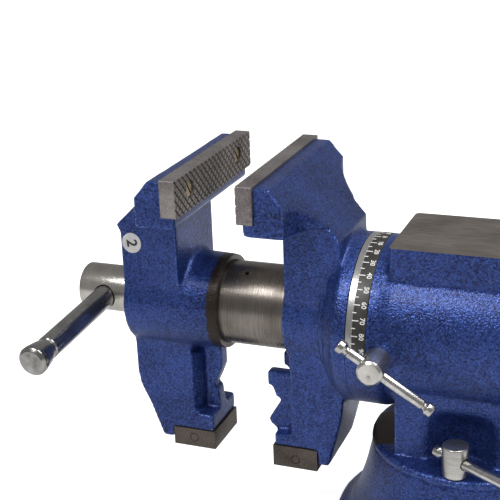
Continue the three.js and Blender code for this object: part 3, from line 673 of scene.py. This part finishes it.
def body_casting():
    lock = (HEAD_LOCK["x"], 0, HEAD_LOCK["z"])
    rim = COLLAR["r"]
    barrel = [
        (0, 80),
        (rim, 80),
        (rim, RIM_REAR),
        (GROOVE_R, RIM_REAR),
        (GROOVE_R, RIM_REAR + 1.4),
        (BODY_R, RIM_REAR + 2),
        (BODY_R, BODY_REAR + 2),
        (0, BODY_REAR + 2),
    ]
    extra = [
        turned(barrel, "x", segments=180),
        rod(FOOT_R, FOOT_BOTTOM - 2, FOOT_TOP, "z", (SWIVEL_X, 0, 0), 180),
    ]
    obj = casting("body_casting", extra, body_grow, passes=5, voxel=VOXEL + 0.05)
    relax(obj, 90, pocket_weight)
    obj.data.materials.append(BODY_PAINT)
    seat = BAND_INNER - CLEAR
    band_section = [(80, seat), (80, 60), (BAND_REAR + CLEAR, 60), (BAND_REAR + CLEAR, seat)]
    carve(obj, block(70, BODY_FRONT, -70, 70, -70, 70), METAL["machined"])
    carve(obj, sector(band_section, BAND_HALF_TURN + 0.4), METAL["machined"])
    carve(obj, block(95, 210, -45, 45, ANVIL_TOP, 75), METAL["anvil_steel"])
    for tool in (
        block(BODY_REAR, 260, -70, 70, -70, 70),
        rod(SLEEVE_R + CLEAR, 70, BEARING_REAR + 1, "x", segments=128),
        rod(CHAMBER_R, BEARING_REAR, 250, "x", segments=128),
        rod(LOCK_NUT_R + 1.5, -70, HEAD_LOCK["root"] + CLEAR, "y", lock, 96),
        rod(SHANK_R + CLEAR, -70, -40, "y", lock, 48),
        rod(7.3, HEAD_LOCK["shank"], -30, "y", lock, 48),
        *(rod(4.4, -80, -70, "z", (SWIVEL_X, s * SLOT_R, 0), 48) for s in (-1, 1)),
    ):
        carve(obj, tool, METAL["machined"])
    show(obj, "body_casting_finished", "blue_paint", "body_casting")


def base_grow(x, y, z):
    """Leaves stock on the base's top and underside."""
    up = z - BENCH_Z
    if abs(up - BASE_HEIGHT) < 0.05:
        z += 2
    if abs(up) < 0.05:
        z -= 2
    return Vector((x, y, z))


def swivel_base():
    centre = (SWIVEL_X, 0, BENCH_Z)
    flank = [
        (0, 2),
        (86, 2),
        (88, 4),
        (88, 6),
        (81, 8.5),
        (78.2, 11),
        (76.6, 14),
        (73.6, 23),
        (70.5, 32),
        (67.6, 42),
        (65.4, 52),
        (64, 58.5),
        (64, 61),
        (0, 61),
    ]
    skirt = turned(flank, "z", centre, 200)
    obj = casting("swivel_base", [skirt], base_grow, lambda x, y, z: np.full_like(x, 0.9), 8, VOXEL + 0.35)
    obj.data.materials.append(BASE_PAINT)
    top = BENCH_Z + BASE_HEIGHT
    carve(obj, block(40, 260, -110, 110, top, top + 10), METAL["machined"])
    carve(obj, block(0, 300, -150, 150, BENCH_Z - 10, BENCH_Z), METAL["machined"])
    neck_in, neck_out, tee_in, tee_out = 51.9, 61.1, 49.9, 63.1
    lip, floor = 51.7, 44.7
    slot = [
        (neck_in, 70),
        (neck_out, 70),
        (neck_out, lip),
        (tee_out, lip),
        (tee_out, floor),
        (tee_in, floor),
        (tee_in, lip),
        (neck_in, lip),
        (neck_in, 70),
    ]
    carve(obj, turned(slot, "z", centre, 160), METAL["machined"])
    hollow = [(37, -1), (38, 26), (58, 26), (68, -1), (37, -1)]
    carve(obj, turned(hollow, "z", centre, 160), BASE_PAINT)
    carve(obj, rod(SPIGOT_BORE_R, SPIGOT_BORE_FLOOR, 70, "z", centre, 96), METAL["machined"])
    for degrees in QUARTERS:
        a = math.radians(degrees)
        lug = (SWIVEL_X + LUG_R * math.cos(a), LUG_R * math.sin(a), BENCH_Z)
        carve(obj, rod(LUG_HOLE_R, -5, 20, "z", lug, 48), METAL["machined"])
    show(obj, "swivel_base_finished", "blue_paint", "swivel_base")


# ---- Jaw plates ----
GROOVE_PITCH, GROOVE_HALF, GROOVE_DEPTH = 4.2, 0.75, 0.6


def mirror_for(obj, side):
    """Turns a piece made for the fixed jaw into the moving jaw's."""
    if side < 0:
        obj.data.transform(Matrix.Scale(-1, 4, (1, 0, 0)))
        obj.data.flip_normals()


def jaw_plate(side, owner):
    low, high = JAW_TOP - PLATE_HEIGHT, JAW_TOP
    outline = [
        (-JAW_HALF_WIDTH, low, 1.5),
        (JAW_HALF_WIDTH, low, 1.5),
        (JAW_HALF_WIDTH, high, 0.6),
        (-JAW_HALF_WIDTH, high, 0.6),
    ]
    plate = prism(rounded(outline, 4), "x", HALF_GAP, HALF_GAP + PLATE_THICK)
    obj = work_object(plate, METAL["plate_steel"])
    bevelled(obj, 0.4, 2)
    centre_z = (low + high) / 2
    for tilt in (45, -45):
        grooves = []
        count = int(70 / GROOVE_PITCH) + 1
        for i in range(-count, count + 1):
            across = (i + 0.5) * GROOVE_PITCH
            vee = [
                (HALF_GAP - 0.3, across - GROOVE_HALF - 0.3),
                (HALF_GAP + GROOVE_DEPTH, across),
                (HALF_GAP - 0.3, across + GROOVE_HALF + 0.3),
            ]
            grooves.append(prism(vee, "z", -90, 90))
        tool = moved(joined(*grooves), Matrix.Translation((0, 0, centre_z)) @ turned_about(tilt, "X"))
        # Painted shade: the grooves' faces take the dark steel, darker than the plate around them.
        carve(obj, tool, METAL["dark_steel"])
    floor = HALF_GAP + 5.4
    for s in (-1, 1):
        at = (0, s * PLATE_SCREW_Y, PLATE_SCREW_Z)
        counterbore = turned([(0, 15), (6.0, 15), (5.6, 19.8), (5.6, floor), (0, floor)], "x", at, 64)
        carve(obj, counterbore, METAL["grip_steel"])
        carve(obj, rod(3.4, 15, 35, "x", at, 48), METAL["grip_steel"])
    grip_slot = len(obj.data.materials)
    obj.data.materials.append(METAL["grip_steel"])
    for face in obj.data.polygons:
        if face.normal.x < -0.7 and face.center.x < HALF_GAP + 0.05:
            face.material_index = grip_slot
    mirror_for(obj, side)
    show(obj, f"{owner}_jaw_plate_cut", "jaw_steel", f"{owner}_jaw_plate", angle=20)


def plate_screw(side, y, owner, where):
    head = HALF_GAP + 1.1
    under, tip = head + 4, head + 21
    profile = [(0, head), (5.2, head, 0.5), (5.2, under, 0.3), (3, under), (3, tip, 0.5), (0, tip)]
    obj = work_object(turned(profile, "x", (0, y, PLATE_SCREW_Z), 64), METAL["screw_steel"])
    place = Matrix.Translation((0, y, PLATE_SCREW_Z)) @ turned_about(PLATE_SCREW_ANGLE, "X")
    # Painted shade: the slot's walls take the dark steel, darker than the screw's head.
    carve(obj, moved(block(head - 1, head + 1.6, -0.7, 0.7, -6, 6), place), METAL["dark_steel"])
    mirror_for(obj, side)
    node = f"{owner}_plate_screw_{where}"
    show(obj, node + "_turned", "dark_steel", node)


# ---- Screw, slide and handle ----
def slide_tube():
    profile = [
        (TUBE_BORE_R, TUBE_FRONT),
        (TUBE_R, TUBE_FRONT, 0.6),
        (TUBE_R, TUBE_REAR, 0.8),
        (TUBE_BORE_R, TUBE_REAR),
        (TUBE_BORE_R, TUBE_FRONT),
    ]
    obj = work_object(turned(profile, "x", segments=192), METAL["tube_steel"])
    carve(obj, block(-8, TUBE_REAR + 5, -7.2, 7.2, -35, 0), METAL["tube_steel"])
    hole_at = Matrix.Translation((4.5, 0, 0)) @ turned_about(24, "X")
    # Painted shade: the oil hole's wall takes the dark steel, darker than the tube.
    carve(obj, moved(rod(1.5, 0, 40, "z", segments=32), hole_at), METAL["dark_steel"])
    show(obj, "slide_tube_turned", "turned_steel", "slide_tube")


HANDLE_PLACE = Matrix.Translation((HANDLE["x"], 0, 0)) @ turned_about(HANDLE["tilt"], "X")


def spindle():
    profile = [
        (0, HUB_FRONT),
        (HUB_R, HUB_FRONT, 1.8),
        (HUB_R, HUB_REAR, 1.0),
        (JOURNAL_R, HUB_REAR),
        (JOURNAL_R, THREAD_FRONT - 1, 0.5),
        (THREAD_R, THREAD_FRONT),
        (THREAD_R, SPINDLE_REAR - 2),
        (THREAD_R - 1.7, SPINDLE_REAR),
        (0, SPINDLE_REAR),
    ]
    obj = work_object(turned(profile, "x", segments=128), METAL["turned_x"])
    carve(obj, moved(rod(HANDLE["r"] + 0.6, -20, 20, "y", segments=96), HANDLE_PLACE), METAL["turned_x"])
    carve(obj, rod(2.15, -20, 20, "z", (COLLAR_PIN_X, 0, 0), 32), METAL["turned_x"])
    show(obj, "spindle_turned", "turned_steel", "spindle")


KNOB_LENGTH = 19


def knob(r, knob_r, inner, outer):
    return [
        (r * 0.9, inner),
        (r * 0.95, inner + 1.0, 0.4),
        (knob_r - 1.4, inner + 6.0, 6),
        (knob_r, inner + 14, 5),
        (knob_r, outer - 2.0, 1.4),
        (knob_r - 2.2, outer, 0.5),
    ]


def handle():
    r, half, knob_r = HANDLE["r"], HANDLE["half"], HANDLE["knob"]
    stub = r * 0.55
    shoulder = KNOB_LENGTH + CLEAR - half
    inner = half - KNOB_LENGTH
    bar = [
        (0, 2.6 - half),
        (stub, 2.6 - half, 0.5),
        (stub, shoulder),
        (r * 0.86, shoulder),
        (r, shoulder + 2, 1),
        (r, inner - 1, 1),
        *knob(r, knob_r, inner, half),
        (0, half),
    ]
    near_end_first = HANDLE_PLACE @ turned_about(180, "X")
    obj = work_object(moved(turned(bar, "y", segments=96), near_end_first), METAL["turned_y"])
    show(obj, "handle_bar_turned", "turned_steel", "handle_bar", angle=40)
    cap = [(0, inner), *knob(r, knob_r, inner, half), (0, half)]
    obj = work_object(turned(cap, "y", segments=96), METAL["turned_y"])
    carve(obj, rod(stub + CLEAR, inner - 1, half - 2.2, "y", segments=48), METAL["turned_y"])
    obj.data.transform(HANDLE_PLACE)
    show(obj, "handle_end_cap_turned", "turned_steel", "handle_end_cap", angle=40)


# ---- Locks ----
BAR = {"r": 3.25, "half": 33.5, "knob": 7, "neck": 1.9, "knob_r": 4.2}


def lock_bar(prefix, place):
    half, length, neck, knob_r, r = BAR["half"], BAR["knob"], BAR["neck"], BAR["knob_r"], BAR["r"]
    root, shoulder = half - length, length - half
    bar = [
        (0, -half + 1.2),
        (neck, -half + 1.2),
        (neck, shoulder + 0.3),
        (r, shoulder + 0.6, 0.3),
        (r, root, 0.6),
        (neck + 0.6, root + 0.5, 0.3),
        (neck + 0.6, root + 1.4, 0.3),
        (knob_r, root + 3, 0.8),
        (knob_r, half, 0.8),
        (0, half),
    ]
    obj = work_object(moved(turned(bar, "x", segments=64), place), METAL["bright_bar"])
    show(obj, f"{prefix}_bar_turned", "zinc", f"{prefix}_bar", angle=40)
    cap = [
        (0, -half),
        (knob_r, -half, 0.8),
        (knob_r, shoulder - 3, 0.8),
        (neck + 1, shoulder - 1.2, 0.3),
        (neck + 1, shoulder),
        (0, shoulder),
    ]
    obj = work_object(turned(cap, "x", segments=64), METAL["bright_bar"])
    carve(obj, rod(neck + CLEAR, 0.8 - half, shoulder + 1, "x", segments=32), METAL["bright_bar"])
    obj.data.transform(place)
    show(obj, f"{prefix}_bar_cap_turned", "zinc", f"{prefix}_bar_cap", angle=40)


def bar_bore(centre):
    return rod(BAR["r"] + 0.45, -20, 20, "x", centre, 64)


def head_lock():
    near_y, root, tip, bar_y = HEAD_LOCK["near"], HEAD_LOCK["root"], HEAD_LOCK["shank"], HEAD_LOCK["bar_y"]
    middle_at = Matrix.Translation((HEAD_LOCK["x"], 0, HEAD_LOCK["z"]))
    place = middle_at @ turned_about(HEAD_LOCK["angle"], "Y")
    profile = [
        (0, near_y + 0.5),
        (0.9, near_y),
        (6.4, near_y, 0.3),
        (LOCK_NUT_R, near_y + 1.5, 0.5),
        (LOCK_NUT_R, root, 0.8),
        (SHANK_R, root),
        (SHANK_R, tip, 0.5),
        (0, tip),
    ]
    obj = work_object(turned(profile, "y", segments=96), METAL["nut_steel_y"])
    # Painted shade: the bore around the bar takes the dark steel, a dark ring between nut and bar.
    carve(obj, bar_bore((0, bar_y, 0)), METAL["dark_steel"])
    obj.data.transform(place)
    show(obj, "head_lock_screw_turned", "zinc", "head_lock_screw")
    lock_bar("head_lock", place @ Matrix.Translation((HEAD_LOCK["offset"], bar_y, 0)))


def base_lock(sign, where):
    turn = 90 + sign * 90 - BASE_NUT["angle"]
    place = Matrix.Translation((SWIVEL_X, sign * SLOT_R, 0)) @ turned_about(turn, "Z")
    low, high, bar_z = BASE_NUT["bottom"], BASE_NUT["top"], BASE_NUT["bar_z"]
    profile = [(0, low), (LOCK_NUT_R, low, 0.8), (LOCK_NUT_R, high, 1.0), (0, high)]
    obj = work_object(turned(profile, "z", segments=96), METAL["nut_steel_z"])
    # Painted shade: the bores for the bolt and the bar take the dark steel, darker than the nut.
    carve(obj, rod(4.2, low - 1, bar_z - BAR["r"] - 1.6, "z", segments=48), METAL["dark_steel"])
    carve(obj, bar_bore((0, 0, bar_z)), METAL["dark_steel"])
    obj.data.transform(place)
    node = f"base_lock_nut_{where}"
    show(obj, node + "_turned", "zinc", node)
    lock_bar(f"base_lock_{where}", place @ Matrix.Translation((BASE_NUT["offset"], 0, bar_z)))


# ---- Degree band, its marks and the jaw's number ----
def wrapped(mesh, radius):
    """Lays a flat mesh (x along the screw, y the arc length from the top, z its thickness) on a cylinder."""
    for v in mesh.vertices:
        a = v.co.y / radius
        r = radius + v.co.z
        v.co = (v.co.x, r * math.sin(a), r * math.cos(a))
    return mesh


def flat_text(text, size, bold):
    curve = bpy.data.curves.new("text", "FONT")
    curve.body = text
    curve.size = size
    curve.align_x = "CENTER"
    curve.align_y = "CENTER"
    curve.extrude = 0.04
    curve.offset = bold
    curve.resolution_u = 3
    obj = bpy.data.objects.new("text", curve)
    bpy.context.scene.collection.objects.link(obj)
    graph = bpy.context.evaluated_depsgraph_get()
    mesh = bpy.data.meshes.new_from_object(obj.evaluated_get(graph))
    bpy.data.objects.remove(obj)
    return mesh


def degree_band():
    front = BODY_FRONT + CLEAR / 2
    section = [
        (front, BAND_INNER, 0),
        (front, BAND_R, 0.3),
        (BAND_REAR, BAND_R, 0.3),
        (BAND_REAR, BAND_INNER, 0),
    ]
    obj = work_object(sector(rounded(section, 3), BAND_HALF_TURN), BLACK_LABEL)
    show(obj, "degree_band_plate", "black_label", "degree_band")


def band_marks():
    marks = []
    half_width, raised = 0.3, 0.06
    for degrees in range(-90, 91, 5):
        length = 3.6 if degrees % 10 == 0 else 2.0
        y = math.radians(degrees) * BAND_R
        low, high = SILVER_EDGE - 0.4, SILVER_EDGE + length
        marks.append(wrapped(block(low, high, y - half_width, y + half_width, 0.0, raised), BAND_R))
    digits_x = 92.9
    for degrees in range(-90, 91, 10):
        text = flat_text(str(abs(degrees)), 4.3, 0.06)
        y = math.radians(degrees) * BAND_R
        text.transform(Matrix.Translation((digits_x, y, 0.03)) @ turned_about(-90, "Z"))
        marks.append(wrapped(text, BAND_R))
    obj = work_object(joined(*marks), WHITE_INK)
    show(obj, "degree_marks", "white_label", body=BODY_OF["degree_band"])
    front, top = 83.1, BAND_R + 0.05
    edge = [(front, BAND_R), (front, top), (SILVER_EDGE, top), (SILVER_EDGE, BAND_R)]
    strip = work_object(sector(edge, BAND_HALF_TURN, 372), METAL["silver_label"])
    show(strip, "degree_band_edge", "zinc", body=BODY_OF["degree_band"])


def jaw_number():
    at = (-67.5, 0, 46)
    face = -30.6
    profile = [(0, face), (6.8, face, 0.15), (6.8, face + 0.5), (0, face + 0.5)]
    obj = work_object(turned(profile, "y", at, 96), WHITE_PAPER)
    show(obj, "jaw_number_paper", "white_label", "jaw_number_disc")
    digit = flat_text("2", 10.4, 0.22)
    upright = turned_about(90, "X")
    digit.transform(Matrix.Translation((at[0], face - 0.04, at[2])) @ turned_about(84, "Y") @ upright)
    show(work_object(digit, BLACK_INK), "jaw_number_digit", "black_label", body=BODY_OF["jaw_number_disc"])


# ---- Small parts that keep their CAD shape with broken edges ----
def refined(node, slot, material, width, segments=2):
    obj = bevelled(work_object(cad_mesh(node), material), width, segments)
    show(obj, node + "_finished", slot, node)


def rear_cap():
    front, shoulder, rear = CAP["front"], CAP["shoulder"], CAP["rear"]
    profile = [(0, front), (BODY_R, front, 0.4), (BODY_R, shoulder, 0.8), (BODY_R - 2, rear, 0.8), (0, rear)]
    obj = work_object(turned(profile, "x", segments=180), CAP_PAINT)
    for degrees in QUARTERS:
        a = math.radians(degrees)
        at = (0, CAP["screw_r"] * math.cos(a), CAP["screw_r"] * math.sin(a))
        carve(obj, rod(2.8, 235, 250, "x", at, 32), METAL["machined"])
        carve(obj, rod(4.3, rear - 2.6, 250, "x", at, 48), METAL["machined"])
    show(obj, "rear_cap_turned", "blue_paint", "rear_cap")


def small_parts():
    for i in range(1, 5):
        refined(f"rear_cap_screw_{i}", "zinc", METAL["turned_x"], 0.25)
    for owner in ("fixed", "moving"):
        refined(f"{owner}_lower_insert", "dark_steel", METAL["dark_steel"], 1.3, 3)
        refined(f"{owner}_insert_pin", "turned_steel", METAL["pin_steel"], 0.3)
        for i in (1, 2):
            refined(f"{owner}_insert_screw_{i}", "dark_steel", METAL["dark_steel"], 0.25)
    refined("head_retaining_ring", "turned_steel", METAL["turned_x"], 0.2)
    refined("spindle_nut", "bronze", METAL["bronze"], 0.4)
    refined("spindle_nut_screw", "dark_steel", METAL["dark_steel"], 0.2)
    refined("spindle_thrust_washer", "zinc", METAL["turned_x"], 0.3)
    refined("spindle_collar", "dark_steel", METAL["dark_steel"], 0.4)
    refined("spindle_collar_pin", "turned_steel", METAL["turned_z"], 0.3)
    refined("head_lock_shoe", "bronze", METAL["bronze"], 0.3)
    for where in ("near", "far"):
        refined(f"base_lock_bolt_{where}", "dark_steel", METAL["dark_steel"], 0.3)


# ---- Light and floor ----
def area_light(name, at, towards, size, power):
    data = bpy.data.lights.new(name, "AREA")
    data.shape = "RECTANGLE"
    data.size, data.size_y = size
    data.energy = power
    light = bpy.data.objects.new(name, data)
    light.location = at
    light.rotation_mode = "QUATERNION"
    light.rotation_quaternion = (Vector(towards) - Vector(at)).to_track_quat("-Z", "Y")
    bpy.context.scene.collection.objects.link(light)


FLOOR_HALF = 30.0
FLOOR_GLOW = {"on_the_vise": 0.12, "seen": 0.86}
WORLD_LIGHT = {"on_the_vise": 0.30, "seen": 1.0}


def studio():
    """A pale floor and world. The camera sees both brighter than they light the vise."""
    net = Net("floor")
    shade = net.noise(2, 1.0)
    from_camera = net.add("LightPath").outputs["Is Camera Ray"]
    floor_material = net.finish(
        Base_Color=net.mix(shade, (0.74, 0.74, 0.74), (0.77, 0.77, 0.77)),
        Roughness=net.ramp(shade, 0, 1, 0.75, 0.85),
        Emission_Color=(1, 1, 1),
        Emission_Strength=net.ramp(from_camera, 0, 1, FLOOR_GLOW["on_the_vise"], FLOOR_GLOW["seen"]),
    )
    corners = [(x * FLOOR_HALF, y * FLOOR_HALF, 0) for x, y in ((-1, -1), (1, -1), (1, 1), (-1, 1))]
    mesh = bpy.data.meshes.new("floor")
    mesh.from_pydata(corners, [], [(0, 1, 2, 3)])
    mesh.materials.append(floor_material)
    floor = bpy.data.objects.new("floor", mesh)
    floor.location.z = CAD_LOW.z - 0.0005
    bpy.context.scene.collection.objects.link(floor)
    world = bpy.data.worlds.new("studio")
    world.use_nodes = True
    tree = world.node_tree
    background = tree.nodes["Background"]
    background.inputs["Color"].default_value = (1, 1, 1, 1)
    path = tree.nodes.new("ShaderNodeLightPath")
    level = tree.nodes.new("ShaderNodeMapRange")
    level.inputs["To Min"].default_value = WORLD_LIGHT["on_the_vise"]
    level.inputs["To Max"].default_value = WORLD_LIGHT["seen"]
    tree.links.new(path.outputs["Is Camera Ray"], level.inputs["Value"])
    tree.links.new(level.outputs["Result"], background.inputs["Strength"])
    bpy.context.scene.world = world
    middle_of = (CAD_LOW + CAD_HIGH) / 2
    area_light("top", (0.45, -0.05, 1.25), middle_of, (1.2, 0.6), 14)
    area_light("key", (-0.45, -0.75, 1.25), middle_of, (0.5, 0.4), 9)
    bpy.context.scene.view_settings.view_transform = "Standard"


studio()
slide_tube()
spindle()
handle()
head_lock()
base_lock(-1, "near")
base_lock(1, "far")
for side, owner in ((1, "fixed"), (-1, "moving")):
    jaw_plate(side, owner)
    plate_screw(side, -PLATE_SCREW_Y, owner, "near")
    plate_screw(side, PLATE_SCREW_Y, owner, "far")
degree_band()
band_marks()
jaw_number()
rear_cap()
small_parts()
head_casting()
moving_jaw_casting()
body_casting()
swivel_base()
